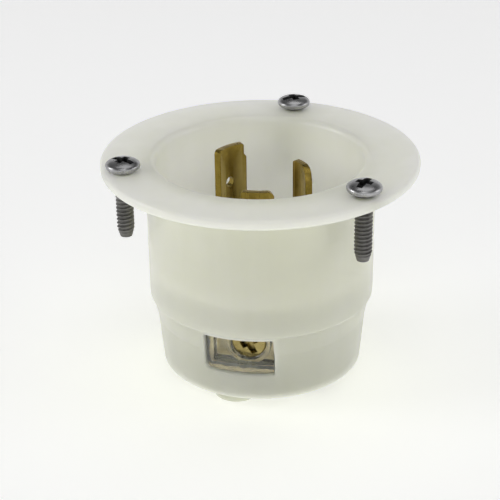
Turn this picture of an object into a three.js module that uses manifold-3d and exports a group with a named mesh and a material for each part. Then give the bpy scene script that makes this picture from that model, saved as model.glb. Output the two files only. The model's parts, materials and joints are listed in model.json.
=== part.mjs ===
// Flanged locking inlet for a generator or panel: a round nylon housing with three arc-shaped
// blades in its cup, side-access clamp terminals behind three windows, and a rear cover with
// three wire collars. Millimetres, +Z out of the mouth; z = 0 is where the wire collars stand,
// on the axis of the flange. Azimuths are degrees from +X, counter-clockwise seen from the mouth.
import * as THREE from 'three';
import { mergeVertices } from 'three/addons/utils/BufferGeometryUtils.js';
import Module from 'manifold-3d';

const wasm = await Module();
wasm.setup();

// ---- housing
const GAP = 0.3; // between pieces that touch or run together
const COLLAR_HEIGHT = 2.6;
const BODY_DEPTH = 44.2;
const REAR_Z = COLLAR_HEIGHT;
const FACE_Z = REAR_Z + BODY_DEPTH;
const FLANGE_R = 31.75;
const FLANGE_THICKNESS = 2;
const FLANGE_EDGE = 0.7;
const MOUTH_EDGE = 1.3;
const UPPER_R = 22.95;
const WALL = 2.15;
const CUP_DEPTH = 21.5;
const CUP_DRAFT = 0.3;
const FLOOR_THICKNESS = 2.6;
const FLOOR_TOP_Z = FACE_Z - CUP_DEPTH;
const FLOOR_BOTTOM_Z = FLOOR_TOP_Z - FLOOR_THICKNESS;
const STEP_TOP_Z = FACE_Z - 29.6;
const STEP_BOTTOM_Z = FACE_Z - 33.8;
const STEP_EDGE = 0.9;
const LOWER_R = 21.45;
const REAR_R = 20.57;
const REAR_EDGE = 0.4;
const CHAMBER_R = 19.2;

// ---- terminals, one behind each window; offsets run counter-clockwise from the window's middle
const TERMINALS = { line: -103, neutral: 17, ground: 137 };
const WINDOW_WIDTH = 14.2;
const WINDOW_TOP_Z = FACE_Z - 30;
const WINDOW_BOTTOM_Z = FACE_Z - 38.5;
const WINDOW_CORNER = 1.4;
const WINDOW_CUT_FROM = 16; // how near the axis the opening is cut
const SCREW_OFFSET = 1.5;
const SCREW_Z = FACE_Z - 32.5;
const TERMINAL_HEAD = { radius: 3.5, top: 18.1, thickness: 1.5, shank: 1.75, length: 8 };
const PLATE = { inner: 15.1, outer: 16.3, halfWidth: 6.2, bottom: REAR_Z + 6.3 };
const STRAP = { bottom: FLOOR_BOTTOM_Z - 2, top: FLOOR_BOTTOM_Z - GAP, halfWidth: 4 };
const CLAMP = { inner: 10.3, outer: 11.9, halfWidth: 4.9, halfHeight: 4.3 };
const RETAINER = { back: 16.6, web: 17.1, rim: 18.6, halfWidth: 6.4, bottom: REAR_Z + 3.3 };
const RETAINER_COLLAR_R = 4.55;
const RETAINER_FRAME = { faceR: 20.2, bar: 1.5, ledge: 1.7 }; // fills two sides of the window
const PLATE_CORNER = 0.6;
const RETAINER_CORNER = 0.8;
const CORE = { hubR: 11.5, flat: 8, rib: 1.2, boreR: 2.5 };

// ---- blades: azimuths of their two ends and how far the tip stays below the flange face
const BLADE_INNER_R = 9;
const BLADE_OUTER_R = 10.4;
const BLADES = {
  line: { from: -112, to: -75, tip: 3.8, corners: [0.5, 1.2] },
  neutral: { from: 0, to: 43, tip: 3.8, corners: [3.6, 0.6] },
  ground: { from: 108, to: 153, tip: 1, corners: [0.6, 0.9] },
};
const GROUND_STEP = { width: 0.55, depth: 2.6 };
const GROUND_HOLE = { radius: 1.1, below: 8.6, offset: 0.6 };

// ---- rear cover, wire entries and fasteners
const COVER_THICKNESS = 3;
const COVER_TOP_Z = REAR_Z + COVER_THICKNESS;
const WIRE_RADIAL = 13.6;
const WIRE_OFFSET = -2.2;
const WIRE_R = 3.25;
const COLLAR_R = 4.7;
const MOUNT_AZIMUTHS = [-45.4, 74.6, 194.6];
const MOUNT_CIRCLE_R = 27.6;
const MOUNT_HOLE_R = 2.1;
const MOUNT_SCREW_LIFTS = [0.6, 0.5, GAP]; // they hang loose in the flange, each a little proud
const MOUNT_SCREW = {
  shank: 1.75, length: 14.4, tip: 1.9, tipR: 1.25, base: 2.75, head: 3.42, height: 1.9,
};
const ASSEMBLY_AZIMUTHS = [-43, 77, 197];
const ASSEMBLY_R = 15.4;
const POST_R = 2.8;
const PILOT_R = 1.4;
const ASSEMBLY_SCREW = {
  shank: 1.1, length: 9.5, tip: 1, tipR: 0.5, base: 2.4, head: 2.6, height: 1.5,
};
const COUNTERBORE = { radius: 3, depth: 1.9 };
const RECESS = { slot: 0.82, cross: 0.53, halfWidth: 0.13 }; // in shares of a head's radius

const BODY_FACETS = 60;
const HOLE_FACETS = 16;
const ENTRY_FACETS = 24;
const EPS = 0.02;

const radians = THREE.MathUtils.degToRad;

const materials = {
  nylon: () => new THREE.MeshStandardMaterial({ color: 0xd2d4c0, roughness: 0.45, metalness: 0 }),
  core: () => new THREE.MeshStandardMaterial({ color: 0xc9cbbd, roughness: 0.6, metalness: 0 }),
  clear: () => new THREE.MeshStandardMaterial({ color: 0xdfe4e6, roughness: 0.1, metalness: 0 }),
  brass: () => new THREE.MeshStandardMaterial({ color: 0x9a8442, roughness: 0.35, metalness: 1 }),
  nickel: () => new THREE.MeshStandardMaterial({ color: 0xbfc1c0, roughness: 0.3, metalness: 1 }),
  green: () => new THREE.MeshStandardMaterial({ color: 0x3f7a45, roughness: 0.4, metalness: 1 }),
  steel: () => new THREE.MeshStandardMaterial({ color: 0x8f918f, roughness: 0.3, metalness: 1 }),
};

// ---- closed meshes and booleans

function solid(geometry) {
  const plain = geometry.index ? geometry.toNonIndexed() : geometry.clone();
  plain.deleteAttribute('normal');
  plain.deleteAttribute('uv');
  const merged = mergeVertices(plain);
  return new wasm.Manifold(new wasm.Mesh({
    numProp: 3,
    vertProperties: new Float32Array(merged.attributes.position.array),
    triVerts: new Uint32Array(merged.index.array),
  }));
}

function piece(name, body, material) {
  const mesh = body.getMesh();
  const geometry = new THREE.BufferGeometry();
  geometry.setAttribute('position', new THREE.BufferAttribute(mesh.vertProperties, 3));
  geometry.setIndex(new THREE.BufferAttribute(mesh.triVerts, 1));
  geometry.computeVertexNormals();
  const result = new THREE.Mesh(geometry, material());
  result.name = name;
  return result;
}

function union(bodies) {
  return bodies.reduce((whole, body) => whole.add(body));
}

// A body of revolution about Z from (radius, z) points that start and end on the axis.
function turned(points, facets = HOLE_FACETS) {
  const profile = points.map(([r, z]) => new THREE.Vector2(r, z));
  return solid(new THREE.LatheGeometry(profile, facets).rotateX(Math.PI / 2));
}

function rod(radius, bottom, top, facets = HOLE_FACETS) {
  return turned([[0, bottom], [radius, bottom], [radius, top], [0, top]], facets);
}

function block([x0, x1], [y0, y1], [z0, z1]) {
  const geometry = new THREE.BoxGeometry(x1 - x0, y1 - y0, z1 - z0);
  return solid(geometry.translate((x0 + x1) / 2, (y0 + y1) / 2, (z0 + z1) / 2));
}

function spun(body, azimuth) {
  return body.rotate([0, 0, azimuth]);
}

// The same body repeated around the axis.
function ring(body, azimuths) {
  return union(azimuths.map((azimuth) => spun(body, azimuth)));
}

// A rod along +X, for screws and holes that point out through the side.
function radialRod(radius, inner, outer, y, z) {
  return rod(radius, inner, outer).rotate([0, 90, 0]).translate([0, y, z]);
}

function evenCorners(radius) {
  return [radius, radius, radius, radius];
}

// Points of a quarter-round from one angle to another about a centre.
function arc(r, z, radius, fromDegrees, toDegrees, steps = 2) {
  return Array.from({ length: steps + 1 }, (_, i) => {
    const angle = radians(fromDegrees + ((toDegrees - fromDegrees) * i) / steps);
    return [r + radius * Math.cos(angle), z + radius * Math.sin(angle)];
  });
}

// A rectangle in the Y-Z plane, each corner with its own radius, pushed through from x0 to x1.
// Corners run: low y low z, high y low z, high y high z, low y high z.
function radialPanel([y0, y1], [z0, z1], radii, [x0, x1]) {
  const shape = new THREE.Shape();
  const [a, b, c, d] = radii;
  shape.moveTo(y0 + a, z0);
  shape.lineTo(y1 - b, z0);
  shape.absarc(y1 - b, z0 + b, b, radians(-90), 0, false);
  shape.lineTo(y1, z1 - c);
  shape.absarc(y1 - c, z1 - c, c, 0, radians(90), false);
  shape.lineTo(y0 + d, z1);
  shape.absarc(y0 + d, z1 - d, d, radians(90), radians(180), false);
  shape.lineTo(y0, z0 + a);
  shape.absarc(y0 + a, z0 + a, a, radians(180), radians(270), false);
  const geometry = new THREE.ExtrudeGeometry(shape, {
    depth: x1 - x0, bevelEnabled: false, curveSegments: 3,
  });
  return solid(geometry).rotate([90, 0, 90]).translate([x0, 0, 0]);
}

// ---- housing: flange, cup, cup floor, stepped skirt and three screw posts

function housingProfile() {
  const cupR = UPPER_R - WALL;
  const faceInner = cupR + MOUTH_EDGE;
  return [
    [0, FLOOR_TOP_Z],
    [cupR - CUP_DRAFT - 0.8, FLOOR_TOP_Z],
    [cupR - CUP_DRAFT, FLOOR_TOP_Z + 0.8],
    ...arc(faceInner, FACE_Z - MOUTH_EDGE, MOUTH_EDGE, 180, 90),
    ...arc(FLANGE_R - FLANGE_EDGE, FACE_Z - FLANGE_EDGE, FLANGE_EDGE, 90, 0),
    ...arc(FLANGE_R - FLANGE_EDGE, FACE_Z - FLANGE_THICKNESS + FLANGE_EDGE, FLANGE_EDGE, 0, -90),
    [UPPER_R + 0.5, FACE_Z - FLANGE_THICKNESS],
    [UPPER_R, FACE_Z - FLANGE_THICKNESS - 0.5],
    ...arc(UPPER_R - STEP_EDGE, STEP_TOP_Z + STEP_EDGE, STEP_EDGE, 0, -70),
    [LOWER_R, STEP_BOTTOM_Z],
    ...arc(REAR_R - REAR_EDGE, REAR_Z + REAR_EDGE, REAR_EDGE, 0, -90, 1),
    [CHAMBER_R, REAR_Z],
    [CHAMBER_R, STEP_BOTTOM_Z + 1],
    [cupR - GAP, STEP_TOP_Z + 1],
    [cupR - GAP, FLOOR_BOTTOM_Z],
    [0, FLOOR_BOTTOM_Z],
  ].reverse();
}

function windowCut() {
  const half = WINDOW_WIDTH / 2;
  const radii = [WINDOW_CORNER, 0.3, 0.3, 0.3];
  return radialPanel(
    [-half, half], [WINDOW_BOTTOM_Z, WINDOW_TOP_Z], radii, [WINDOW_CUT_FROM, FLANGE_R],
  );
}

function sector(innerR, outerR, from, to, bottom, top) {
  const shape = new THREE.Shape();
  shape.absarc(0, 0, outerR, radians(from), radians(to), false);
  shape.absarc(0, 0, innerR, radians(to), radians(from), true);
  const geometry = new THREE.ExtrudeGeometry(shape, {
    depth: top - bottom, bevelEnabled: false, curveSegments: 8,
  });
  return solid(geometry).translate([0, 0, bottom]);
}

function bladeSlot({ from, to }) {
  const margin = 2;
  return sector(
    BLADE_INNER_R - GAP, BLADE_OUTER_R + GAP, from - margin, to + margin,
    FLOOR_BOTTOM_Z - 1, FLOOR_TOP_Z + 1,
  );
}

function housing() {
  const post = rod(POST_R, COVER_TOP_Z + GAP, FLOOR_BOTTOM_Z + 0.5).translate([ASSEMBLY_R, 0, 0]);
  const pilot = rod(PILOT_R, COVER_TOP_Z - 1, FLOOR_BOTTOM_Z - 5).translate([ASSEMBLY_R, 0, 0]);
  const screwHole = rod(MOUNT_HOLE_R, FACE_Z - 5, FACE_Z + 1).translate([MOUNT_CIRCLE_R, 0, 0]);
  return turned(housingProfile(), BODY_FACETS)
    .add(ring(post, ASSEMBLY_AZIMUTHS))
    .subtract(ring(pilot, ASSEMBLY_AZIMUTHS))
    .subtract(ring(screwHole, MOUNT_AZIMUTHS))
    .subtract(ring(windowCut(), Object.values(TERMINALS)))
    .subtract(union(Object.values(BLADES).map(bladeSlot)));
}

// ---- blades: an arc standing in the cup, a strap under the floor and a terminal plate

function bladeOutline(key) {
  const { from, to, tip, corners } = BLADES[key];
  const half = BLADE_OUTER_R * Math.sin(radians((to - from) / 2)) + EPS;
  const top = FACE_Z - tip;
  const outline = radialPanel(
    [-half, half], [STRAP.bottom - 1, top], [0.1, 0.1, corners[1], corners[0]], [0, FLANGE_R],
  );
  if (key !== 'ground') return outline;
  const step = block(
    [0, FLANGE_R], [-half - 1, -half + GROUND_STEP.width], [top - GROUND_STEP.depth, top + 1],
  );
  const hole = radialRod(
    GROUND_HOLE.radius, 0, FLANGE_R, GROUND_HOLE.offset, FACE_Z - GROUND_HOLE.below,
  );
  return outline.subtract(step).subtract(hole);
}

function blade(key) {
  const { from, to, tip } = BLADES[key];
  const middle = (from + to) / 2;
  const wall = sector(BLADE_INNER_R, BLADE_OUTER_R, from, to, STRAP.bottom, FACE_Z - tip + 1);
  const standing = wall.intersect(spun(bladeOutline(key), middle));
  const strap = block(
    [BLADE_INNER_R + 0.2, PLATE.outer], [-STRAP.halfWidth, STRAP.halfWidth],
    [STRAP.bottom, STRAP.top],
  );
  const plate = radialPanel(
    [-PLATE.halfWidth, PLATE.halfWidth], [PLATE.bottom, STRAP.top],
    evenCorners(PLATE_CORNER), [PLATE.inner, PLATE.outer],
  );
  const hole = radialRod(
    TERMINAL_HEAD.shank + GAP, PLATE.inner - 1, PLATE.outer + 1, SCREW_OFFSET, SCREW_Z,
  );
  const terminal = strap.add(plate).subtract(hole);
  return spun(standing, -TERMINALS[key]).add(terminal);
}

// A screwdriver slot crossed by a short Phillips arm, cut into a head from bottom to top.
function recessed(body, radius, bottom, top) {
  const half = radius * RECESS.halfWidth;
  const arm = (reach) => block([-reach, reach], [-half, half], [bottom, top]);
  return body.subtract(arm(radius * RECESS.slot)).subtract(spun(arm(radius * RECESS.cross), 90));
}

// ---- terminals, drawn with the radial direction along +X and turned into place by their group

function terminalScrew() {
  const { radius, top, thickness, shank, length } = TERMINAL_HEAD;
  const under = top - thickness;
  const body = turned([
    [0, under - length],
    [shank - 0.5, under - length],
    [shank, under - length + 0.6],
    [shank, under],
    [radius - 0.2, under],
    [radius, under + 0.25],
    [radius, top - 0.5],
    [radius - 0.7, top - 0.1],
    [0, top],
  ]);
  return recessed(body, radius, top - 0.8, top + 1);
}

function clampPlate() {
  const z = [SCREW_Z - CLAMP.halfHeight, SCREW_Z + CLAMP.halfHeight];
  const y = [-CLAMP.halfWidth, CLAMP.halfWidth];
  const plate = radialPanel(y, z, evenCorners(PLATE_CORNER), [CLAMP.inner, CLAMP.outer]);
  const hole = radialRod(
    TERMINAL_HEAD.shank + GAP, CLAMP.inner - 1, CLAMP.outer + 1, SCREW_OFFSET, SCREW_Z,
  );
  return plate.subtract(hole);
}

// The retainer's outer edge: a bar and a ledge that fill two sides of the window, curved like the wall.
function retainerFrame() {
  const half = WINDOW_WIDTH / 2 - GAP;
  const z = [WINDOW_BOTTOM_Z + GAP, WINDOW_TOP_Z - GAP];
  const plug = radialPanel(
    [-half, half], z, [WINDOW_CORNER - GAP, 0.1, 0.1, 0.1], [RETAINER.back, FLANGE_R],
  );
  const inside = block(
    [0, FLANGE_R], [-half + RETAINER_FRAME.bar, half + 1], [z[0] + RETAINER_FRAME.ledge, FACE_Z],
  );
  const round = rod(RETAINER_FRAME.faceR, 0, FACE_Z, BODY_FACETS);
  return plug.subtract(inside).intersect(round);
}

function retainer() {
  const top = SCREW_Z + RETAINER_COLLAR_R;
  const sheet = radialPanel(
    [-RETAINER.halfWidth, RETAINER.halfWidth], [RETAINER.bottom, top],
    evenCorners(RETAINER_CORNER), [RETAINER.back, RETAINER.web],
  );
  const collar = radialRod(RETAINER_COLLAR_R, RETAINER.back, RETAINER.rim, SCREW_OFFSET, SCREW_Z);
  const bore = radialRod(
    TERMINAL_HEAD.radius + GAP, RETAINER.back - 1, RETAINER.rim + 1, SCREW_OFFSET, SCREW_Z,
  );
  return union([sheet, retainerFrame(), collar]).subtract(bore);
}

function terminalGroup(key, screwMaterial) {
  const group = new THREE.Group();
  group.rotation.z = radians(TERMINALS[key]);
  const screw = piece(`${key}_terminal_screw`, terminalScrew(), screwMaterial);
  screw.rotation.y = Math.PI / 2;
  screw.position.set(0, SCREW_OFFSET, SCREW_Z);
  group.add(
    piece(`${key}_blade`, blade(key), materials.brass),
    screw,
    piece(`${key}_clamp_plate`, clampPlate(), materials.brass),
    piece(`${key}_screw_retainer`, retainer(), materials.clear),
  );
  return group;
}

// ---- core: a central block with a flat and two guide ribs for each clamp plate

function terminalCore() {
  const bottom = COVER_TOP_Z + GAP;
  const top = STRAP.bottom - GAP;
  const { hubR, flat } = CORE;
  const ribOuter = PLATE.inner - GAP;
  const ribInner = CLAMP.halfWidth + GAP;
  const away = block([flat, 2 * hubR], [-hubR, hubR], [bottom - 1, top + 1]);
  const rib = (y0, y1) => block([flat - 1, ribOuter], [y0, y1], [bottom, top]);
  const ribs = rib(ribInner, ribInner + CORE.rib).add(rib(-ribInner - CORE.rib, -ribInner));
  const azimuths = Object.values(TERMINALS);
  return rod(hubR, bottom, top, ENTRY_FACETS)
    .subtract(ring(away, azimuths))
    .add(ring(ribs, azimuths))
    .subtract(rod(CORE.boreR, bottom - 1, top + 1));
}

// ---- rear cover: a disc with three wire collars and three counterbored screw holes

function rearCover() {
  const edge = 0.4;
  const r = CHAMBER_R - GAP;
  const disc = turned([
    [0, REAR_Z], [r - edge, REAR_Z], [r, REAR_Z + edge], [r, COVER_TOP_Z], [0, COVER_TOP_Z],
  ], BODY_FACETS);
  const place = (body) => body.translate([WIRE_RADIAL, WIRE_OFFSET, 0]);
  const collar = turned([
    [0, 0], [COLLAR_R - 0.5, 0], [COLLAR_R, 0.5], [COLLAR_R, REAR_Z + 1], [0, REAR_Z + 1],
  ], ENTRY_FACETS);
  const entry = rod(WIRE_R, -1, COVER_TOP_Z + 1, ENTRY_FACETS);
  const hole = rod(PILOT_R + 0.1, REAR_Z - 1, COVER_TOP_Z + 1).translate([ASSEMBLY_R, 0, 0]);
  const seat = rod(COUNTERBORE.radius, REAR_Z - 1, REAR_Z + COUNTERBORE.depth)
    .translate([ASSEMBLY_R, 0, 0]);
  const azimuths = Object.values(TERMINALS);
  return disc
    .add(ring(place(collar), azimuths))
    .subtract(ring(place(entry), azimuths))
    .subtract(ring(hole.add(seat), ASSEMBLY_AZIMUTHS));
}

// ---- pan-head screws, head up, the underside of the head at z = 0

function panScrew({ shank, length, tip, tipR, base, head, height }) {
  const body = turned([
    [0, -length],
    [tipR, -length],
    [shank, -length + tip],
    [shank, 0],
    [base, 0],
    [head, height * 0.32],
    [head * 0.97, height * 0.5],
    [head * 0.84, height * 0.75],
    [head * 0.55, height * 0.94],
    [0, height],
  ]);
  return recessed(body, head, height * 0.55, height + 1);
}

function mountingScrews() {
  return MOUNT_AZIMUTHS.map((azimuth, i) => {
    const screw = piece(`mounting_screw_${i + 1}`, panScrew(MOUNT_SCREW), materials.steel);
    const a = radians(azimuth);
    const z = FACE_Z + MOUNT_SCREW_LIFTS[i];
    screw.position.set(MOUNT_CIRCLE_R * Math.cos(a), MOUNT_CIRCLE_R * Math.sin(a), z);
    screw.rotation.z = radians(azimuth + 90 + 40 * i);
    return screw;
  });
}

function assemblyScrews() {
  return ASSEMBLY_AZIMUTHS.map((azimuth, i) => {
    const screw = piece(`assembly_screw_${i + 1}`, panScrew(ASSEMBLY_SCREW), materials.nickel);
    const a = radians(azimuth);
    const z = REAR_Z + COUNTERBORE.depth - GAP;
    screw.position.set(ASSEMBLY_R * Math.cos(a), ASSEMBLY_R * Math.sin(a), z);
    screw.rotation.set(Math.PI, 0, a + i);
    return screw;
  });
}

const inlet = new THREE.Group();
inlet.add(
  piece('housing', housing(), materials.nylon),
  piece('terminal_core', terminalCore(), materials.core),
  piece('rear_cover', rearCover(), materials.nylon),
  terminalGroup('line', materials.brass),
  terminalGroup('neutral', materials.nickel),
  terminalGroup('ground', materials.green),
  ...assemblyScrews(),
  ...mountingScrews(),
);

export default inlet;
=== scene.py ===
import json
import math

import bmesh
import bpy
from mathutils import Matrix, Vector


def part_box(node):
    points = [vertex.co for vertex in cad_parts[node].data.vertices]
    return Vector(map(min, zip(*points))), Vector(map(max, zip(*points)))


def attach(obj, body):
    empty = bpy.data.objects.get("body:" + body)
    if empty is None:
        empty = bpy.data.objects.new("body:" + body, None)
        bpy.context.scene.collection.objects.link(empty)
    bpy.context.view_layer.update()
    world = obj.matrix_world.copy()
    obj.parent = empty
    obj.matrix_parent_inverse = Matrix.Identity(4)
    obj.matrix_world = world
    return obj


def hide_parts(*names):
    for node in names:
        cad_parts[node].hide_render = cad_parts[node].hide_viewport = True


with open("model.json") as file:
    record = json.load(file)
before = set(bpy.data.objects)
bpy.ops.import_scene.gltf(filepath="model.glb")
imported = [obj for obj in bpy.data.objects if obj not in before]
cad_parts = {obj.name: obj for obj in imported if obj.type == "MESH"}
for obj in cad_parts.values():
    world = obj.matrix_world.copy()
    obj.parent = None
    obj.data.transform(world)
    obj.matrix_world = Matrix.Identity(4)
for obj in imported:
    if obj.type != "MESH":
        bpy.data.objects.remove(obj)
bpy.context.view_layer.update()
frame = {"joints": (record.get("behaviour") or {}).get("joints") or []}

MM = 0.001
# Room left between neighbouring pieces, in millimetres.
CLEARANCE = 0.3

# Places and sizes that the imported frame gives, in millimetres.
JOINTS = {joint["name"]: joint for joint in frame["joints"]}
HOUSING_LOW, HOUSING_HIGH = (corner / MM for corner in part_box("housing"))
FACE_Z = HOUSING_HIGH.z
REAR_Z = HOUSING_LOW.z
FLANGE_R = HOUSING_HIGH.x
COVER_TOP_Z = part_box("rear_cover")[1].z / MM
TERMINALS = ("line", "neutral", "ground")

# The housing's own sizes, in millimetres.
FLANGE_THICKNESS = 2.0
FLANGE_EDGE = 0.7
MOUTH_EDGE = 1.3
UPPER_R = 22.95
WALL = 2.15
CUP_R = UPPER_R - WALL
CUP_DEPTH = 21.5
CUP_DRAFT = 0.3
FLOOR_THICKNESS = 2.6
FLOOR_TOP_Z = FACE_Z - CUP_DEPTH
FLOOR_BOTTOM_Z = FLOOR_TOP_Z - FLOOR_THICKNESS
STEP_TOP_Z = FACE_Z - 29.6
STEP_BOTTOM_Z = FACE_Z - 33.8
STEP_EDGE = 0.9
LOWER_R = 21.45
REAR_R = 20.57
REAR_EDGE = 0.4
CHAMBER_R = 19.2
WINDOW_WIDTH = 14.2
WINDOW_TOP_Z = FACE_Z - 30
WINDOW_BOTTOM_Z = FACE_Z - 38.5
WINDOW_CORNERS = (1.4, 0.35, 0.35, 0.35)
WINDOW_LIP = 0.25
MOUNT_HOLE_R = 2.0
MOUNT_HOLE_LIP = 0.2
POST_R = 2.8
BLADE_SLOT_GAP = 0.2
BLADE_SLOT_MARGIN_DEGREES = 1.5

# Terminals: the radial direction is +X and counter-clockwise is +Y until they are turned into place.
SCREW_OFFSET = 1.5
SCREW_Z = FACE_Z - 32.5
TERMINAL_HEAD_R = 3.5
TERMINAL_HEAD_HEIGHT = 1.5
TERMINAL_HEAD_TOP = 18.1
TERMINAL_SHANK_R, TERMINAL_ROOT_R, TERMINAL_LENGTH = 1.75, 1.32, 7.9
TERMINAL_SCREW_TURN = 28
PLATE_INNER, PLATE_OUTER = 15.1, 16.3
PLATE_HALF_WIDTH = 6.2
PLATE_BOTTOM = REAR_Z + 6.3
STRAP_TOP = FLOOR_BOTTOM_Z - CLEARANCE
STRAP_BOTTOM = FLOOR_BOTTOM_Z - 2
STRAP_HALF_WIDTH = 4
STRAP_BEND = 1.5
PLATE_HOLE_R = 2.0
CLAMP_INNER, CLAMP_OUTER = 10.3, 11.9
CLAMP_HALF_WIDTH = 4.9
CLAMP_HALF_HEIGHT = 4.3
CLAMP_HOLE_R = 1.95
RETAINER_BACK, RETAINER_WEB, RETAINER_RIM, RETAINER_FACE_R = 16.6, 17.1, 18.6, 20.2
RETAINER_BAR, RETAINER_LEDGE = 1.5, 1.7
RETAINER_HALF_WIDTH = 6.4
RETAINER_BOTTOM = REAR_Z + 3.3
RETAINER_COLLAR_R = 4.55
CORE_R, CORE_FLAT, CORE_BORE_R, CORE_RIB = 11.5, 8.0, 2.5, 1.2
WIRE_RADIAL, WIRE_OFFSET, WIRE_R, COLLAR_R = 13.6, -2.2, 3.25, 4.7

BLADE_INNER_R, BLADE_OUTER_R = 9.0, 10.4
BLADE_MIDDLE_R = (BLADE_INNER_R + BLADE_OUTER_R) / 2
BLADE_EDGE = 0.32
# Each blade: azimuths of its ends, depth of its tip below the flange face, and radii of the tip's
# low-azimuth and high-azimuth corners.
BLADES = {
    "line": (-112, -75, 3.8, 0.5, 1.2),
    "neutral": (0, 43, 3.8, 4.2, 0.6),
    "ground": (108, 153, 1.0, 0.6, 0.9),
}
GROUND_HOLE_R, GROUND_HOLE_OFFSET, GROUND_HOLE_Z = 1.1, 0.6, FACE_Z - 8.6
GROUND_STEP_WIDTH, GROUND_STEP_HEIGHT = 0.55, 2.6

# Screws. The three flange screws stand at different turns, in degrees.
THREAD_PITCH = 0.794
MOUNT_SCREW_TURNS = (62, 20, 145)
MOUNT_SHANK_R, MOUNT_ROOT_R = 1.75, 1.4
MOUNT_LENGTH = 14.4
MOUNT_RECESS, ASSEMBLY_RECESS, TERMINAL_RECESS = 1.05, 0.8, 0.95
MOUNT_HEAD_BASE, MOUNT_HEAD_R, MOUNT_HEAD_HEIGHT = 2.95, 3.42, 1.9
ASSEMBLY_AZIMUTHS = (-43, 77, 197)
ASSEMBLY_R = 15.4
ASSEMBLY_HEAD_BASE, ASSEMBLY_HEAD_R, ASSEMBLY_HEAD_HEIGHT = 2.4, 2.6, 1.5
ASSEMBLY_SHANK_R, ASSEMBLY_ROOT_R, ASSEMBLY_LENGTH = 1.1, 0.85, 9.3
ASSEMBLY_SEAT_Z = REAR_Z + 1.6
SEAT_R, SEAT_BORE_R, SEAT_DEPTH = 3.0, 1.5, 1.9

# Reach and width of the recess arms, as shares of the head's radius, and their turn in degrees.
RECESS_ARMS = ((0.82, 0.17, 0), (0.52, 0.19, 90), (0.52, 0.19, 0))
# Height of the thread over one pitch, as shares of its depth: root, flank, crest, flank.
THREAD_FORM = (0.0, 0.0, 0.2, 0.52, 0.84, 1.0, 1.0, 1.0, 0.84, 0.52, 0.2, 0.0)
SHANK_LAP = 0.1

BODY_SEGMENTS = 240
SMALL_SEGMENTS = 64

# Light: the world fades from a pale horizon to a dim ceiling between two heights of the view direction.
HORIZON_LIGHT, CEILING_LIGHT = 0.8, 0.1
HORIZON_TOP, CEILING_BOTTOM = 0.3, 0.52
FLOOR_GLOW = 0.43
# Each soft box: its place and its side in metres, and its power in watts. All point at one place.
LIGHT_AIM = (0, 0, 0.025)
SOFT_BOXES = {
    "top": ((0.05, 0.08, 0.6), 0.45, 0.51),
    "front": ((0.0, -0.4, 0.5), 0.35, 0.42),
    "left": ((-0.9, -0.05, 0.4), 0.4, 1.75),
    "right": ((0.9, -0.05, 0.4), 0.4, 0.84),
}


# ---------------------------------------------------------------- mesh helpers

def make_object(name, bm):
    bmesh.ops.recalc_face_normals(bm, faces=bm.faces)
    mesh = bpy.data.meshes.new(name)
    bm.to_mesh(mesh)
    bm.free()
    obj = bpy.data.objects.new(name, mesh)
    bpy.context.scene.collection.objects.link(obj)
    return obj


def apply_modifiers(obj):
    graph = bpy.context.evaluated_depsgraph_get()
    mesh = bpy.data.meshes.new_from_object(obj.evaluated_get(graph))
    obj.modifiers.clear()
    obj.data = mesh


def combine(obj, other, operation):
    modifier = obj.modifiers.new("combine", "BOOLEAN")
    modifier.operation = operation
    modifier.solver = "EXACT"
    modifier.object = other
    apply_modifiers(obj)
    bpy.data.objects.remove(other)
    return obj


def cut(obj, *cutters):
    for cutter in cutters:
        combine(obj, cutter, "DIFFERENCE")
    return obj


def join_solids(obj, *others):
    for other in others:
        combine(obj, other, "UNION")
    return obj


def move(obj, matrix):
    obj.data.transform(matrix)
    if matrix.is_negative:
        obj.data.flip_normals()
    return obj


def turn_z(obj, azimuth):
    return move(obj, Matrix.Rotation(math.radians(azimuth), 4, "Z"))


def shift(obj, x, y, z):
    return move(obj, Matrix.Translation(Vector((x, y, z)) * MM))


def arc(r, z, radius, start, end, steps=8):
    """Points of a quarter-round about (r, z), angles in degrees."""
    points = []
    for i in range(steps + 1):
        angle = math.radians(start + (end - start) * i / steps)
        points.append((r + radius * math.cos(angle), z + radius * math.sin(angle)))
    return points


def turned(name, profile, segments=SMALL_SEGMENTS):
    """A body of revolution about Z, from (radius, z) points that start and end on the axis."""
    bm = bmesh.new()
    rings = []
    for r, z in profile:
        if r < 1e-6:
            rings.append([bm.verts.new((0, 0, z * MM))])
            continue
        angles = (2 * math.pi * i / segments for i in range(segments))
        rings.append([
            bm.verts.new((r * math.cos(a) * MM, r * math.sin(a) * MM, z * MM)) for a in angles
        ])
    for low, high in zip(rings, rings[1:]):
        for i in range(segments):
            j = (i + 1) % segments
            corners = [low[i % len(low)], low[j % len(low)], high[j % len(high)], high[i % len(high)]]
            unique = list(dict.fromkeys(corners))
            if len(unique) > 2:
                bm.faces.new(unique)
    return make_object(name, bm)


def rod(name, radius, bottom, top, segments=SMALL_SEGMENTS):
    return turned(name, [(0, bottom), (radius, bottom), (radius, top), (0, top)], segments)


def rounded_outline(y0, y1, z0, z1, radii, steps=6):
    """Points of a rectangle with rounded corners: low y low z, high y low z, high y high z, low y high z."""
    a, b, c, d = radii
    points = []
    points += arc(y0 + a, z0 + a, a, 180, 270, steps)
    points += arc(y1 - b, z0 + b, b, 270, 360, steps)
    points += arc(y1 - c, z1 - c, c, 0, 90, steps)
    points += arc(y0 + d, z1 - d, d, 90, 180, steps)
    return points


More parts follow.
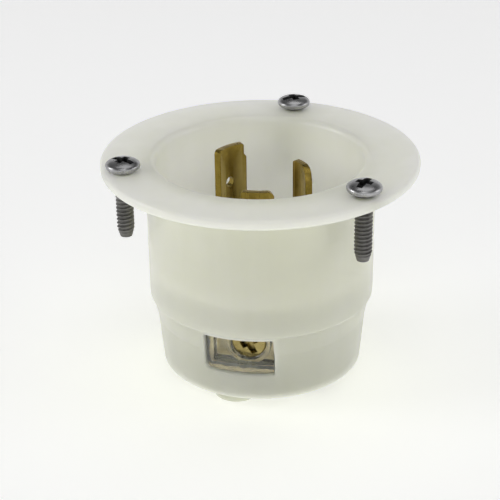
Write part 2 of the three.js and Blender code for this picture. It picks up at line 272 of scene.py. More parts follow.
def panel(name, outline, x0, x1, edge=0.0, edge_steps=2):
    """A flat plate from an outline in the Y-Z plane, from x0 to x1, its rims rounded by edge."""
    bm = bmesh.new()
    back = [bm.verts.new((x0 * MM, y * MM, z * MM)) for y, z in outline]
    face = bm.faces.new(back)
    grown = bmesh.ops.extrude_face_region(bm, geom=[face])
    front = [g for g in grown["geom"] if isinstance(g, bmesh.types.BMVert)]
    bmesh.ops.translate(bm, verts=front, vec=((x1 - x0) * MM, 0, 0))
    bmesh.ops.recalc_face_normals(bm, faces=bm.faces)
    if edge:
        rims = [
            e for e in bm.edges
            if len(e.link_faces) == 2 and any(len(f.verts) == len(outline) for f in e.link_faces)
        ]
        bmesh.ops.bevel(
            bm, geom=rims, offset=edge * MM, segments=edge_steps, profile=0.5, affect="EDGES",
            clamp_overlap=True,
        )
    return make_object(name, bm)


def slab(name, x, y, z, edge=0.15):
    outline = rounded_outline(y[0], y[1], z[0], z[1], (edge,) * 4, 3)
    return panel(name, outline, x[0], x[1], edge)


def radial_rod(name, radius, inner, outer, y, z, segments=SMALL_SEGMENTS):
    """A rod along +X at the given Y and Z."""
    obj = rod(name, radius, inner, outer, segments)
    move(obj, Matrix.Rotation(math.pi / 2, 4, "Y"))
    return shift(obj, 0, y, z)


def smooth(obj, angle=35):
    mesh = obj.data
    mesh.shade_smooth()
    mesh.set_sharp_from_angle(angle=math.radians(angle))
    return obj


def mark(obj, index):
    """Gives every face the material at this place in the piece's list."""
    for polygon in obj.data.polygons:
        polygon.material_index = index
    return obj


def finish_piece(obj, body, slot, materials, *nodes):
    """Gives a piece its materials and finish, puts it on its body and hides the CAD nodes it stands for."""
    smooth(obj)
    indexes = [polygon.material_index for polygon in obj.data.polygons]
    obj.data.materials.clear()
    for material in materials:
        obj.data.materials.append(material)
    for polygon, index in zip(obj.data.polygons, indexes):
        polygon.material_index = min(index, len(materials) - 1)
    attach(obj, body)
    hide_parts(*nodes)
    return obj


# ---------------------------------------------------------------- housing

def terminal_azimuth(key):
    axis = JOINTS[f"{key}_clamp_travel"]["axis"]
    return math.degrees(math.atan2(axis[1], axis[0]))


def mount_point(i):
    return Vector(JOINTS[f"mounting_screw_{i + 1}_turn"]["pos_m"]) / MM


def outer_radius(z):
    """Radius of the body's outside at a height, for the lip round each window."""
    if z >= STEP_TOP_Z:
        return UPPER_R
    if z >= STEP_BOTTOM_Z:
        share = (z - STEP_BOTTOM_Z) / (STEP_TOP_Z - STEP_BOTTOM_Z)
        return LOWER_R + (UPPER_R - LOWER_R) * share
    share = (z - REAR_Z) / (STEP_BOTTOM_Z - REAR_Z)
    return REAR_R + (LOWER_R - REAR_R) * share


def housing_profile():
    face_inner = CUP_R + MOUTH_EDGE
    rim = FLANGE_R - FLANGE_EDGE
    wall_top = FACE_Z - FLANGE_THICKNESS
    points = [(0, FLOOR_TOP_Z)]
    points += arc(CUP_R - CUP_DRAFT - 0.8, FLOOR_TOP_Z + 0.8, 0.8, 270, 360)
    points += arc(face_inner, FACE_Z - MOUTH_EDGE, MOUTH_EDGE, 180, 90, 12)
    points += arc(rim, FACE_Z - FLANGE_EDGE, FLANGE_EDGE, 90, 0)
    points += arc(rim, wall_top + FLANGE_EDGE, FLANGE_EDGE, 0, -90)
    points += arc(UPPER_R + 0.5, wall_top - 0.5, 0.5, 90, 180, 5)
    points += arc(UPPER_R - STEP_EDGE, STEP_TOP_Z + STEP_EDGE, STEP_EDGE, 0, -70, 7)
    points += arc(LOWER_R + 0.9, STEP_BOTTOM_Z - 0.2, 0.9, 160, 180, 4)
    points += arc(REAR_R - REAR_EDGE, REAR_Z + REAR_EDGE, REAR_EDGE, 0, -90, 6)
    points += [(CHAMBER_R, REAR_Z), (CHAMBER_R, STEP_BOTTOM_Z + 1)]
    points += [(CUP_R - 0.3, STEP_TOP_Z + 1), (CUP_R - 0.3, FLOOR_BOTTOM_Z), (0, FLOOR_BOTTOM_Z)]
    return points


def window_cutter():
    """A tool for one window whose mouth flares into a rounded lip that follows the curved wall."""
    half = WINDOW_WIDTH / 2
    inside, outside, steps = -5.0, 1.5, 6
    stations = [(inside, 0.0)]
    for i in range(steps + 1):
        depth = -WINDOW_LIP * (1 - i / steps)
        reach = depth + WINDOW_LIP
        stations.append((depth, WINDOW_LIP - math.sqrt(max(WINDOW_LIP**2 - reach**2, 0))))
    stations.append((outside, WINDOW_LIP + 0.4))
    bm = bmesh.new()
    rings = []
    for depth, growth in stations:
        radii = [corner + growth for corner in WINDOW_CORNERS]
        outline = rounded_outline(
            -half - growth, half + growth, WINDOW_BOTTOM_Z - growth, WINDOW_TOP_Z + growth, radii,
        )
        ring = []
        for y, z in with_split_sides(outline):
            radius = outer_radius(z) + depth
            ring.append(bm.verts.new((math.sqrt(radius**2 - y**2) * MM, y * MM, z * MM)))
        rings.append(ring)
    for low, high in zip(rings, rings[1:]):
        for i in range(len(low)):
            j = (i + 1) % len(low)
            bm.faces.new((low[i], low[j], high[j], high[i]))
    for ring in (rings[0], rings[-1]):
        middle = bm.verts.new(sum((v.co for v in ring), Vector()) / len(ring))
        for i in range(len(ring)):
            bm.faces.new((ring[i], ring[(i + 1) % len(ring)], middle))
    return make_object("window_cutter", bm)


def with_split_sides(outline, long_side=2.4, steps=12):
    """The same outline with each long side split evenly, and the same count whatever the outline's growth."""
    result = []
    for i, (y0, z0) in enumerate(outline):
        y1, z1 = outline[(i + 1) % len(outline)]
        parts = steps if math.hypot(y1 - y0, z1 - z0) > long_side else 1
        result += [(y0 + (y1 - y0) * k / parts, z0 + (z1 - z0) * k / parts) for k in range(parts)]
    return result


def blade_slot(start, end):
    """A tool for the slot in the cup's floor that one blade stands in."""
    bm = bmesh.new()
    margin, steps = BLADE_SLOT_MARGIN_DEGREES, 16
    azimuths = [start - margin + (end - start + 2 * margin) * i / steps for i in range(steps + 1)]
    outline = [(BLADE_OUTER_R + BLADE_SLOT_GAP, a) for a in azimuths]
    outline += [(BLADE_INNER_R - BLADE_SLOT_GAP, a) for a in reversed(azimuths)]
    flat = [(r * math.cos(math.radians(a)), r * math.sin(math.radians(a))) for r, a in outline]
    low = [bm.verts.new((x * MM, y * MM, (FLOOR_BOTTOM_Z - 1) * MM)) for x, y in flat]
    face = bm.faces.new(low)
    grown = bmesh.ops.extrude_face_region(bm, geom=[face])
    high = [g for g in grown["geom"] if isinstance(g, bmesh.types.BMVert)]
    bmesh.ops.translate(bm, verts=high, vec=(0, 0, (FLOOR_THICKNESS + 2) * MM))
    return make_object("blade_slot", bm)


def build_housing(material):
    obj = turned("nylon_housing", housing_profile(), BODY_SEGMENTS)
    for azimuth in ASSEMBLY_AZIMUTHS:
        post = rod("post", POST_R, COVER_TOP_Z + CLEARANCE, FLOOR_BOTTOM_Z + 0.5)
        turn_z(shift(post, ASSEMBLY_R, 0, 0), azimuth)
        join_solids(obj, post)
    for key in TERMINALS:
        cut(obj, turn_z(window_cutter(), terminal_azimuth(key)))
    for start, end, *_ in BLADES.values():
        cut(obj, blade_slot(start, end))
    lip_r = MOUNT_HOLE_R + MOUNT_HOLE_LIP
    for i in range(3):
        place = mount_point(i)
        hole = turned("screw_hole", [
            (0, FACE_Z - 5), (MOUNT_HOLE_R, FACE_Z - 5), (MOUNT_HOLE_R, FACE_Z - MOUNT_HOLE_LIP),
            (lip_r, FACE_Z + 0.02), (lip_r, FACE_Z + 1), (0, FACE_Z + 1),
        ])
        cut(obj, shift(hole, place.x, place.y, 0))
    return finish_piece(obj, "housing", "housing_nylon", [material], "housing")


# ---------------------------------------------------------------- blades

def blade_outline(key):
    """The flat blank of a blade: arc length along Y, height along Z."""
    start, end, tip, low_corner, high_corner = BLADES[key]
    half = math.radians(end - start) / 2 * BLADE_MIDDLE_R
    top = FACE_Z - tip
    points = rounded_outline(
        -half, half, STRAP_BOTTOM, top, (0.1, 0.1, high_corner, low_corner), 20,
    )
    if key != "ground":
        return points
    step_y, step_z, corner = -half + GROUND_STEP_WIDTH, top - GROUND_STEP_HEIGHT, 0.5
    kept = [(y, z) for y, z in points if not (y < -half + 2 and z > step_z)]
    shoulder = arc(step_y + corner, top - corner, corner, 90, 180, 6)
    shoulder += [(step_y, step_z + 0.3), (-half + 0.2, step_z), (-half, step_z - 0.3)]
    index = max(i for i, (y, z) in enumerate(kept) if z > top - 1e-6)
    return kept[: index + 1] + shoulder + kept[index + 1:]


def bend_to_arc(obj, middle_azimuth):
    """Bends a flat plate into an arc about the axis; its width is kept at the blades' middle radius."""
    bm = bmesh.new()
    bm.from_mesh(obj.data)
    across = [v.co.y for v in bm.verts]
    steps = 28
    for i in range(1, steps):
        y = min(across) + (max(across) - min(across)) * i / steps
        geometry = bm.verts[:] + bm.edges[:] + bm.faces[:]
        bmesh.ops.bisect_plane(bm, geom=geometry, plane_co=(0, y, 0), plane_no=(0, 1, 0))
    for v in bm.verts:
        angle = math.radians(middle_azimuth) + v.co.y / (BLADE_MIDDLE_R * MM)
        radius = v.co.x
        v.co.x, v.co.y = radius * math.cos(angle), radius * math.sin(angle)
    bm.to_mesh(obj.data)
    bm.free()
    return obj


def build_blade(key, materials):
    """A blade and its terminal plate, one stamping: the plate has the second material, a lighter copy of the
    brass that is painted light.
    """
    start, end, *_ = BLADES[key]
    name = f"{key}_contact_blade"
    standing = panel(name, blade_outline(key), BLADE_INNER_R, BLADE_OUTER_R, BLADE_EDGE, 4)
    if key == "ground":
        cut(standing, radial_rod(
            "hole", GROUND_HOLE_R, BLADE_INNER_R - 1, BLADE_OUTER_R + 1, GROUND_HOLE_OFFSET, GROUND_HOLE_Z,
        ))
    bend_to_arc(standing, (start + end) / 2)
    foot = build_foot()
    cut(foot, radial_rod("hole", PLATE_HOLE_R, PLATE_INNER - 1, PLATE_OUTER + 1, SCREW_OFFSET, SCREW_Z))
    # The foot gets material 1, the lighter brass: painted light.
    turn_z(mark(foot, 1), terminal_azimuth(key))
    blade = weld(name, standing, foot)
    return finish_piece(blade, "housing", "brass", materials, f"{key}_blade")


def build_foot():
    """The strap under the cup floor and the terminal plate, bent from one sheet along +X and down."""
    thickness = PLATE_OUTER - PLATE_INNER
    middle_x, middle_z, steps = PLATE_OUTER - STRAP_BEND, STRAP_TOP - STRAP_BEND, 8
    stations = [(BLADE_INNER_R + 0.3, STRAP_TOP, 90)]
    for i, (x, z) in enumerate(arc(middle_x, middle_z, STRAP_BEND, 90, 0, steps)):
        stations.append((x, z, 90 - 90 * i / steps))
    strap_stations = len(stations)
    stations += [(PLATE_OUTER, middle_z - 0.9, 0), (PLATE_OUTER, PLATE_BOTTOM, 0)]
    widths = [STRAP_HALF_WIDTH] * strap_stations + [PLATE_HALF_WIDTH] * 2
    bm = bmesh.new()
    rings = []
    for (x, z, angle), half in zip(stations, widths):
        inner_x = x - thickness * math.cos(math.radians(angle))
        inner_z = z - thickness * math.sin(math.radians(angle))
        corners = ((x, -half, z), (x, half, z), (inner_x, half, inner_z), (inner_x, -half, inner_z))
        rings.append([bm.verts.new(Vector(c) * MM) for c in corners])
    for low, high in zip(rings, rings[1:]):
        for i in range(4):
            j = (i + 1) % 4
            bm.faces.new((low[i], low[j], high[j], high[i]))
    bm.faces.new(rings[0])
    bm.faces.new(rings[-1])
    bmesh.ops.recalc_face_normals(bm, faces=bm.faces)
    sharp = [e for e in bm.edges if e.calc_face_angle() > math.radians(50)]
    bmesh.ops.bevel(
        bm, geom=sharp, offset=0.15 * MM, segments=2, profile=0.5, affect="EDGES", clamp_overlap=True,
    )
    return make_object("foot", bm)


# ---------------------------------------------------------------- screws

def recess_cutters(head_r, top, depth):
    """A slot and the two arms of a cross, all tapering inwards, for a head whose top is at z = top."""
    cutters = []
    for reach, width, spin in RECESS_ARMS:
        bm = bmesh.new()
        sections = ((top + 0.5, reach * 1.04, width * 1.25), (top - depth, reach * 0.72, width * 0.8))
        rings = []
        for z, r, w in sections:
            x, y = r * head_r, w * head_r
            rings.append([
                bm.verts.new((px * MM, py * MM, z * MM))
                for px, py in ((-x, -y), (x, -y), (x, y), (-x, y))
            ])
        bm.faces.new(rings[0])
        bm.faces.new(rings[1])
        for i in range(4):
            j = (i + 1) % 4
            bm.faces.new((rings[0][i], rings[0][j], rings[1][j], rings[1][i]))
        cutters.append(turn_z(make_object("recess", bm), spin))
    return cutters


def build_shank(name, major, root, length, tip, tip_r, flute):
    """A threaded shank down from z = 0 with a tapered tip, and a cutting flute where flute isn't 0."""
    rows_per_pitch, segments = 12, 48
    bm = bmesh.new()
    rows = int(round(length / THREAD_PITCH * rows_per_pitch))
    rings = []
    for row in range(rows + 1):
        z = -length + length * row / rows
        ring = []
        for i in range(segments):
            angle = 2 * math.pi * i / segments
            phase = ((z + length) / THREAD_PITCH - i / segments) % 1.0
            height = sample(THREAD_FORM, phase)
            taper = min(1.0, (z + length) / tip)
            limit = tip_r + (major - tip_r) * taper
            radius = min(root + (major - root) * height, limit)
            facing = math.cos(angle)
            if z < -length + flute and facing > 0.2:
                radius = min(radius, (0.55 + 0.35 * taper) * root / facing)
            ring.append(bm.verts.new((
                radius * math.cos(angle) * MM, radius * math.sin(angle) * MM, z * MM,
            )))
        rings.append(ring)
    for low, high in zip(rings, rings[1:]):
        for i in range(segments):
            j = (i + 1) % segments
            bm.faces.new((low[i], low[j], high[j], high[i]))
    bm.faces.new(rings[0])
    bm.faces.new(rings[-1])
    return make_object(name, bm)


def sample(values, phase):
    """A value between the entries of a repeating list, for a phase from 0 to 1."""
    place = phase * len(values)
    i = int(place)
    share = place - i
    return values[i % len(values)] * (1 - share) + values[(i + 1) % len(values)] * share


def lens_head(base, radius, height, depth):
    """A domed head whose lower side curves in to a narrower seat; the driver's recess has material 2, a dark
    painted shade.
    """
    waist = height * 0.4
    skirt_steps, dome_steps = 8, 16
    profile = [(0, 0.0)]
    for i in range(skirt_steps + 1):
        angle = math.pi / 2 * i / skirt_steps
        profile.append((base + (radius - base) * math.sin(angle), waist * (1 - math.cos(angle))))
    for i in range(1, dome_steps + 1):
        angle = math.pi / 2 * i / dome_steps
        r = radius * math.cos(angle) ** 0.75 if i < dome_steps else 0
        profile.append((r, waist + (height - waist) * math.sin(angle) ** 1.1))
    head = cut(turned("head", profile), *recess_cutters(radius, height, depth))
    dome = profile[skirt_steps + 1:]
    # Faces sunk below the dome, in the driver's recess, get material 2: painted shade.
    for polygon in head.data.polygons:
        x, y, z = polygon.center / MM
        if waist < z < surface_height(dome, math.hypot(x, y)) - 0.04:
            polygon.material_index = 2
    return head


def surface_height(dome, r):
    """Height of a dome at a radius, from its (radius, z) points, the rim's first."""
    for (r0, z0), (r1, z1) in zip(dome, dome[1:]):
        if r1 <= r <= r0:
            return z0 + (z1 - z0) * (r0 - r) / (r0 - r1)
    return 0.0


def weld(name, *objects):
    """One object from several closed shells."""
    bm = bmesh.new()
    for obj in objects:
        bm.from_mesh(obj.data)
        bpy.data.objects.remove(obj)
    return make_object(name, bm)


def build_mounting_screw(i, materials):
    """Materials: the head's, the thread's, a darker copy of the head's plating as painted shade, and the
    recess's painted shade.
    """
    head = lens_head(MOUNT_HEAD_BASE, MOUNT_HEAD_R, MOUNT_HEAD_HEIGHT, MOUNT_RECESS)
    shank = build_shank("shank", MOUNT_SHANK_R, MOUNT_ROOT_R, MOUNT_LENGTH, 1.9, 1.2, 4.0)
    # The thread gets material 1, the darker copy of the plating: painted shade.
    shift(mark(shank, 1), 0, 0, SHANK_LAP)
    screw = weld(f"flange_screw_{i + 1}", head, shank)
    turn_z(screw, MOUNT_SCREW_TURNS[i])
    place = mount_point(i)
    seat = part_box(f"mounting_screw_{i + 1}")[1].z / MM - MOUNT_HEAD_HEIGHT
    shift(screw, place.x, place.y, seat)
    return finish_piece(
        screw, f"mounting_screw_{i + 1}", "screw_steel", materials, f"mounting_screw_{i + 1}",
    )


def build_terminal_screw(key, slot, material):
    """A low cylindrical head with a rounded rim, drawn upright and laid along the radial direction."""
    radius, top = TERMINAL_HEAD_R, TERMINAL_HEAD_HEIGHT
    profile = [(0, 0), (radius - 0.15, 0)] + arc(radius - 0.15, 0.15, 0.15, 270, 360, 4)
    profile += arc(radius - 0.35, top - 0.35, 0.35, 0, 80, 6)
    profile += [(radius * 0.6, top + 0.08), (radius * 0.3, top + 0.13), (0, top + 0.15)]
    head = turned("head", profile)
    cut(head, *recess_cutters(radius, top + 0.1, TERMINAL_RECESS))
    shank = build_shank("shank", TERMINAL_SHANK_R, TERMINAL_ROOT_R, TERMINAL_LENGTH, 0.7, 1.2, 0.0)
    shift(shank, 0, 0, SHANK_LAP)
    screw = weld(f"{key}_terminal_screw_piece", head, shank)
    turn_z(screw, TERMINAL_SCREW_TURN)
    move(screw, Matrix.Rotation(math.pi / 2, 4, "Y"))
    shift(screw, TERMINAL_HEAD_TOP - top, SCREW_OFFSET, SCREW_Z)
    turn_z(screw, terminal_azimuth(key))
    return finish_piece(screw, f"{key}_screw", slot, [material], f"{key}_terminal_screw")


def build_assembly_screw(i, material):
    head = lens_head(ASSEMBLY_HEAD_BASE, ASSEMBLY_HEAD_R, ASSEMBLY_HEAD_HEIGHT, ASSEMBLY_RECESS)
    shank = build_shank("shank", ASSEMBLY_SHANK_R, ASSEMBLY_ROOT_R, ASSEMBLY_LENGTH, 1.0, 0.5, 0.0)
    shift(shank, 0, 0, SHANK_LAP)
    screw = weld(f"cover_screw_{i + 1}", head, shank)
    turn_z(screw, 35 + 50 * i)
    move(screw, Matrix.Rotation(math.pi, 4, "X"))
    azimuth = math.radians(ASSEMBLY_AZIMUTHS[i])
    shift(
        screw, ASSEMBLY_R * math.cos(azimuth), ASSEMBLY_R * math.sin(azimuth), ASSEMBLY_SEAT_Z + 0.25,
    )
    return finish_piece(screw, "housing", "nickel", [material], f"assembly_screw_{i + 1}")


# ---------------------------------------------------------------- inner pieces

def build_clamp_plate(key, material):
    half = CLAMP_HALF_WIDTH
    outline = rounded_outline(
        -half, half, SCREW_Z - CLAMP_HALF_HEIGHT, SCREW_Z + CLAMP_HALF_HEIGHT, (0.6,) * 4,
    )
    plate = panel(f"{key}_clamp_plate_piece", outline, CLAMP_INNER, CLAMP_OUTER, 0.2)
    cut(plate, radial_rod("hole", CLAMP_HOLE_R, CLAMP_INNER - 1, CLAMP_OUTER + 1, SCREW_OFFSET, SCREW_Z))
    turn_z(plate, terminal_azimuth(key))
    return finish_piece(plate, f"{key}_clamp", "brass", [material], f"{key}_clamp_plate")


def build_retainer(key, material):
    """The clear piece over a terminal screw: a sheet, a collar round the head and an edge in the window."""
    half = RETAINER_HALF_WIDTH
    top = SCREW_Z + RETAINER_COLLAR_R
    outline = rounded_outline(-half, half, RETAINER_BOTTOM, top, (0.8,) * 4)
    sheet = panel(f"{key}_screw_retainer_piece", outline, RETAINER_BACK, RETAINER_WEB, 0.12)
    rim = 0.2
    collar = turned("collar", [
        (0, RETAINER_BACK), (RETAINER_COLLAR_R, RETAINER_BACK),
        *arc(RETAINER_COLLAR_R - rim, RETAINER_RIM - rim, rim, 0, 90, 4), (0, RETAINER_RIM),
    ])
    move(collar, Matrix.Rotation(math.pi / 2, 4, "Y"))
    shift(collar, 0, SCREW_OFFSET, SCREW_Z)
    join_solids(sheet, retainer_frame(), collar)
    bore = TERMINAL_HEAD_R + 0.25
    cut(sheet, radial_rod("bore", bore, RETAINER_BACK - 1, RETAINER_RIM + 1, SCREW_OFFSET, SCREW_Z))
    turn_z(sheet, terminal_azimuth(key))
    return finish_piece(
        sheet, "housing", "clear_polycarbonate", [material], f"{key}_screw_retainer",
    )


def retainer_frame():
    """The bar and ledge that fill two sides of the window, curved like the wall."""
    half = WINDOW_WIDTH / 2 - CLEARANCE
    low, high = WINDOW_BOTTOM_Z + CLEARANCE, WINDOW_TOP_Z - CLEARANCE
    corners = (WINDOW_CORNERS[0] - CLEARANCE, 0.2, 0.2, 0.2)
    outline = rounded_outline(-half, half, low, high, corners)
    plug = panel("plug", outline, RETAINER_BACK, FLANGE_R)
    inside = slab(
        "inside", (0, FLANGE_R + 1), (-half + RETAINER_BAR, half + 1), (low + RETAINER_LEDGE, FACE_Z), 0.3,
    )
    cut(plug, inside)
    return combine(plug, rod("round", RETAINER_FACE_R, 0, FACE_Z, BODY_SEGMENTS), "INTERSECT")


def build_core(material):
    """The hub with a flat for each terminal and two ribs that guide its clamp plate."""
    bottom, top = COVER_TOP_Z + CLEARANCE, STRAP_BOTTOM - CLEARANCE
    core = rod("terminal_core_piece", CORE_R, bottom, top, 96)
    rib_inner = CLAMP_HALF_WIDTH + CLEARANCE
    rib_reach = (CORE_FLAT - 1, PLATE_INNER - CLEARANCE)
    for key in TERMINALS:
        away = slab("away", (CORE_FLAT, 2 * CORE_R), (-CORE_R, CORE_R), (bottom - 1, top + 1))
        cut(core, turn_z(away, terminal_azimuth(key)))
    for key in TERMINALS:
        for side in (rib_inner, -rib_inner - CORE_RIB):
            rib = slab("rib", rib_reach, (side, side + CORE_RIB), (bottom, top), 0.2)
            join_solids(core, turn_z(rib, terminal_azimuth(key)))
    cut(core, rod("bore", CORE_BORE_R, bottom - 1, top + 1))
    return finish_piece(core, "housing", "core_nylon", [material], "terminal_core")


def build_rear_cover(material):
    """A disc with a collar round each wire entry and a sunk seat for each assembly screw."""
    r = CHAMBER_R - CLEARANCE
    cover = turned("rear_cover_piece", [
        (0, REAR_Z), *arc(r - REAR_EDGE, REAR_Z + REAR_EDGE, REAR_EDGE, 270, 360, 6),
        (r, COVER_TOP_Z), (0, COVER_TOP_Z),
    ], BODY_SEGMENTS)
    for key in TERMINALS:
        azimuth = terminal_azimuth(key)
        collar = turned("collar", [
            (0, 0), *arc(COLLAR_R - 0.5, 0.5, 0.5, 270, 360, 6),
            (COLLAR_R, REAR_Z - 0.3), (COLLAR_R + 0.3, REAR_Z + 0.01),
            (COLLAR_R, REAR_Z + 1), (0, REAR_Z + 1),
        ])
        entry = turned("entry", [
            (0, -1), (WIRE_R + 0.9, -1), (WIRE_R + 0.45, 0), *arc(WIRE_R + 0.45, 0.45, 0.45, 265, 180, 5),
            (WIRE_R, COVER_TOP_Z + 1), (0, COVER_TOP_Z + 1),
        ])
        for tool in (collar, entry):
            turn_z(shift(tool, WIRE_RADIAL, WIRE_OFFSET, 0), azimuth)
        join_solids(cover, collar)
        cut(cover, entry)
    for azimuth in ASSEMBLY_AZIMUTHS:
        seat = turned("seat", [
            (0, REAR_Z - 1), (SEAT_R + 0.2, REAR_Z - 1), (SEAT_R + 0.2, REAR_Z), (SEAT_R, REAR_Z + 0.2),
            (SEAT_R, REAR_Z + SEAT_DEPTH), (SEAT_BORE_R, REAR_Z + SEAT_DEPTH),
            (SEAT_BORE_R, COVER_TOP_Z + 1), (0, COVER_TOP_Z + 1),
        ])
        cut(cover, turn_z(shift(seat, ASSEMBLY_R, 0, 0), azimuth))
    return finish_piece(cover, "housing", "housing_nylon", [material], "rear_cover")


# ---------------------------------------------------------------- materials

class Graph:
    """A material's node tree with short calls for the nodes used here."""

    def __init__(self, name):
        self.material = bpy.data.materials.new(name)
        self.material.use_nodes = True
        self.nodes = self.material.node_tree.nodes
        self.links = self.material.node_tree.links
        self.shader = self.nodes["Principled BSDF"]
        self.place = self.nodes.new("ShaderNodeTexCoord").outputs["Object"]

    def link(self, source, node, socket):
        self.links.new(source, node.inputs[socket])

    def stretched(self, scale):
        mapping = self.nodes.new("ShaderNodeMapping")
        mapping.inputs["Scale"].default_value = scale
        self.link(self.place, mapping, "Vector")
        return mapping.outputs["Vector"]

    def noise(self, scale, detail=3, roughness=0.5, vector=None):
        node = self.nodes.new("ShaderNodeTexNoise")
        node.inputs["Scale"].default_value = scale
        node.inputs["Detail"].default_value = detail
        node.inputs["Roughness"].default_value = roughness
        self.link(vector or self.place, node, "Vector")
        return node.outputs["Fac"]

    def remap(self, value, low, high, to_low, to_high):
        node = self.nodes.new("ShaderNodeMapRange")
        node.inputs["From Min"].default_value = low
        node.inputs["From Max"].default_value = high
        node.inputs["To Min"].default_value = to_low
        node.inputs["To Max"].default_value = to_high
        self.link(value, node, "Value")
        return node.outputs["Result"]

    def mix(self, factor, a, b):
        node = self.nodes.new("ShaderNodeMix")
        node.data_type = "RGBA"
        self.link(factor, node, "Factor")
        for socket, value in ((6, a), (7, b)):
            if isinstance(value, tuple):
                node.inputs[socket].default_value = (*value, 1)
            else:
                self.links.new(value, node.inputs[socket])
        return node.outputs[2]

    def bump(self, height, strength, distance, normal=None):
        node = self.nodes.new("ShaderNodeBump")
        node.inputs["Strength"].default_value = strength
        node.inputs["Distance"].default_value = distance
        self.link(height, node, "Height")
        if normal:
            self.link(normal, node, "Normal")
        return node.outputs["Normal"]

    def pointiness(self):
        return self.nodes.new("ShaderNodeNewGeometry").outputs["Pointiness"]

    def set(self, **sockets):
        for name, value in sockets.items():
            self.shader.inputs[name.replace("_", " ")].default_value = value


def nylon(name, light, dark, scatter, roughness):
    """Natural moulded nylon: cloudy tone, light soaking into thin walls, faint flow and rub marks."""
    g = Graph(name)
    clouds = g.remap(g.noise(90, 4, 0.55), 0.3, 0.7, 0, 1)
    specks = g.remap(g.noise(1600, 2), 0.62, 0.8, 0, 0.3)
    flow = g.remap(g.noise(120, 2, 0.5, g.stretched((1, 1, 0.12))), 0.42, 0.6, 0, 1)
    tone = g.mix(flow, g.mix(clouds, light, dark), tuple(0.975 * c for c in dark))
    g.link(g.mix(specks, tone, tuple(0.97 * c for c in dark)), g.shader, "Base Color")
    rubs = g.noise(420, 2, 0.5, g.stretched((1, 1, 0.25)))
    g.link(g.remap(rubs, 0.3, 0.7, roughness - 0.05, roughness + 0.06), g.shader, "Roughness")
    waves = g.bump(g.noise(160, 2), 0.25, 0.00012)
    fine = g.bump(g.noise(3200, 3, 0.6), 0.22, 0.00003, waves)
    g.link(fine, g.shader, "Normal")
    g.set(Subsurface_Weight=1.0, Subsurface_Radius=scatter, Subsurface_Scale=1.0, IOR=1.5)
    g.set(Specular_IOR_Level=0.5, Coat_Weight=0.3, Coat_Roughness=0.16)
    return g.material


def metal(name, bright, dull, roughness, grain, corner_shade=None, edge_highlight=None):
    """Stamped or rolled metal: drawn grain, blotches of tarnish, painted shade darkening concave corners and
    a painted highlight on convex edges.
    """
    g = Graph(name)
    blotch = g.remap(g.noise(260, 5, 0.6), 0.35, 0.68, 0, 1)
    tone = g.mix(blotch, bright, dull)
    # Concave corners, recesses and thread roots are darkened towards this colour: painted shade.
    if corner_shade:
        corners = g.remap(g.pointiness(), 0.42, 0.5, 0.85, 0)
        tone = g.mix(corners, tone, corner_shade)
    # Convex edges are lightened towards this colour: a painted highlight.
    if edge_highlight:
        edges = g.remap(g.pointiness(), 0.56, 0.66, 0, 0.7)
        tone = g.mix(edges, tone, edge_highlight)
    g.link(tone, g.shader, "Base Color")
    streaks = g.noise(1, 6, 0.7, g.stretched(grain))
    g.link(g.remap(streaks, 0.3, 0.7, roughness - 0.08, roughness + 0.12), g.shader, "Roughness")
    drawn = g.bump(streaks, 0.35, 0.00002)
    dents = g.bump(g.noise(900, 2), 0.2, 0.00003, drawn)
    g.link(dents, g.shader, "Normal")
    g.set(Metallic=1.0)
    return g.material


def polycarbonate():
    """Clear moulded plastic with slightly wavy faces and a few fine scuffs."""
    g = Graph("clear_polycarbonate")
    scuffs = g.remap(g.noise(1400, 6, 0.75), 0.55, 0.75, 0.03, 0.22)
    g.link(scuffs, g.shader, "Roughness")
    wave = g.bump(g.noise(520, 3, 0.6), 0.7, 0.0004)
    g.link(wave, g.shader, "Normal")
    haze = g.remap(g.noise(500, 3), 0.3, 0.7, 0, 1)
    g.link(g.mix(haze, (0.97, 0.975, 0.96), (0.9, 0.91, 0.89)), g.shader, "Base Color")
    g.set(Transmission_Weight=0.95, IOR=1.58)
    return g.material


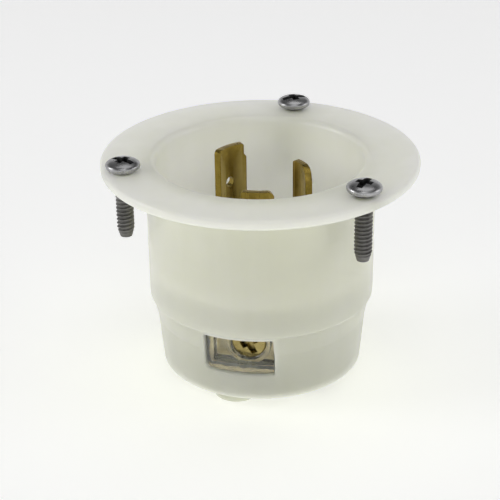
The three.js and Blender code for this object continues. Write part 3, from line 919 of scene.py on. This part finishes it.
def make_materials():
    # The sixth colour of each metal below is its painted shade in concave corners.
    scatter = (0.0135, 0.0132, 0.016)
    return {
        "housing": nylon("natural_nylon", (0.955, 0.98, 0.72), (0.937, 0.966, 0.685), scatter, 0.34),
        # The rear cover's nylon is darker than the housing's, for the shade under the body: painted shade.
        "cover": nylon(
            "nylon_cover_painted_shade", (0.64, 0.65, 0.54), (0.57, 0.58, 0.48), (0.003, 0.003, 0.003), 0.45,
        ),
        "core": nylon("core_nylon", (0.82, 0.835, 0.68), (0.76, 0.775, 0.62), scatter, 0.55),
        "brass": metal(
            "stamped_brass", (0.42, 0.305, 0.07), (0.26, 0.185, 0.035), 0.29, (900, 900, 60),
            # A painted highlight on the blades' convex edges.
            edge_highlight=(0.6, 0.47, 0.18),
        ),
        # The same brass made lighter for the plate seen through the window: painted light.
        "plate": metal(
            "plate_brass_painted_light", (0.86, 0.74, 0.4), (0.7, 0.59, 0.3), 0.42, (400, 400, 400),
            (0.2, 0.16, 0.07),
        ),
        "brass_screw": metal(
            "turned_brass", (0.42, 0.34, 0.14), (0.28, 0.22, 0.08), 0.24, (500, 500, 500),
            (0.04, 0.03, 0.01),
        ),
        "nickel": metal(
            "nickel_plate", (0.6, 0.59, 0.56), (0.46, 0.45, 0.42), 0.22, (500, 500, 500),
            (0.08, 0.08, 0.075),
        ),
        "green": metal(
            "green_plate", (0.1, 0.3, 0.13), (0.06, 0.2, 0.08), 0.3, (500, 500, 500),
            (0.01, 0.03, 0.012),
        ),
        "steel": metal(
            "zinc_plate", (0.5, 0.5, 0.505), (0.3, 0.3, 0.305), 0.29, (700, 700, 300),
            (0.05, 0.05, 0.05),
        ),
        # The head's plating made darker for the thread below it: painted shade.
        "thread": metal(
            "thread_painted_shade", (0.24, 0.235, 0.225), (0.13, 0.127, 0.12), 0.4, (700, 700, 300),
            (0.04, 0.038, 0.035),
        ),
        # Near-black metal put in the drivers' recesses: painted shade.
        "recess": metal(
            "recess_painted_shade", (0.1, 0.1, 0.1), (0.045, 0.045, 0.045), 0.45, (700, 700, 300),
            (0.02, 0.02, 0.02),
        ),
        "clear": polycarbonate(),
    }


# ---------------------------------------------------------------- stage, light and camera

def build_stage():
    """A pale floor just under the collars, so that their ends don't lie in its plane."""
    bpy.ops.mesh.primitive_plane_add(size=6)
    floor = bpy.context.object
    floor.name = "floor"
    floor.location.z = -0.0001
    g = Graph("pale_floor")
    g.link(g.mix(g.noise(3, 2), (0.93, 0.93, 0.93), (0.9, 0.9, 0.9)), g.shader, "Base Color")
    g.set(Roughness=0.7, Emission_Color=(1, 1, 1, 1), Emission_Strength=FLOOR_GLOW)
    floor.data.materials.append(g.material)


def area_light(name, place, aim, side, power):
    data = bpy.data.lights.new(name, "AREA")
    data.shape = "RECTANGLE"
    data.size = data.size_y = side
    data.energy = power
    obj = bpy.data.objects.new(name, data)
    obj.location = place
    obj.rotation_euler = (Vector(aim) - Vector(place)).to_track_quat("-Z", "Y").to_euler()
    bpy.context.scene.collection.objects.link(obj)


def build_lights():
    """A pale horizon under a dim ceiling, with soft boxes above, in front and at the sides."""
    world = bpy.data.worlds.new("studio")
    bpy.context.scene.world = world
    world.use_nodes = True
    nodes, links = world.node_tree.nodes, world.node_tree.links
    direction = nodes.new("ShaderNodeTexCoord").outputs["Generated"]
    height = nodes.new("ShaderNodeSeparateXYZ")
    links.new(direction, height.inputs[0])
    fade = nodes.new("ShaderNodeMapRange")
    fade.inputs["From Min"].default_value = HORIZON_TOP
    fade.inputs["From Max"].default_value = CEILING_BOTTOM
    fade.inputs["To Min"].default_value = HORIZON_LIGHT
    fade.inputs["To Max"].default_value = CEILING_LIGHT
    links.new(height.outputs["Z"], fade.inputs["Value"])
    nodes["Background"].inputs["Color"].default_value = (1, 1, 1, 1)
    links.new(fade.outputs["Result"], nodes["Background"].inputs["Strength"])
    for name, (place, side, power) in SOFT_BOXES.items():
        area_light(name, place, LIGHT_AIM, side, power)
    bpy.context.scene.view_settings.view_transform = "Standard"


def build_camera():
    """The camera stands 300 mm from the middle of the flange face, 22 degrees above it."""
    distance, elevation, roll = 0.3, math.radians(22.35), math.radians(-0.77)
    face = Vector((0, 0, FACE_Z * MM))
    place = face + distance * Vector((0, -math.cos(elevation), math.sin(elevation)))
    aim = face + Vector((-0.00226, 0, -0.02105))
    data = bpy.data.cameras.new("camera")
    data.lens = 108.6
    data.sensor_width = 36
    data.clip_start = 0.01
    camera = bpy.data.objects.new("camera", data)
    turn = (aim - place).to_track_quat("-Z", "Y").to_matrix().to_4x4()
    camera.matrix_world = Matrix.Translation(place) @ turn @ Matrix.Rotation(roll, 4, "Z")
    bpy.context.scene.collection.objects.link(camera)
    bpy.context.scene.camera = camera


def build_object(materials):
    build_housing(materials["housing"])
    build_rear_cover(materials["cover"])
    build_core(materials["core"])
    screw_finish = {
        "line": ("brass", "brass_screw"),
        "neutral": ("nickel", "nickel"),
        "ground": ("green_plated", "green"),
    }
    for key in TERMINALS:
        slot, finish = screw_finish[key]
        build_blade(key, [materials["brass"], materials["plate"]])
        build_terminal_screw(key, slot, materials[finish])
        build_clamp_plate(key, materials["brass"])
        build_retainer(key, materials["clear"])
    for i in range(3):
        build_assembly_screw(i, materials["nickel"])
        build_mounting_screw(i, [materials["steel"], materials["thread"], materials["recess"]])


build_camera()
build_lights()
build_stage()
build_object(make_materials())
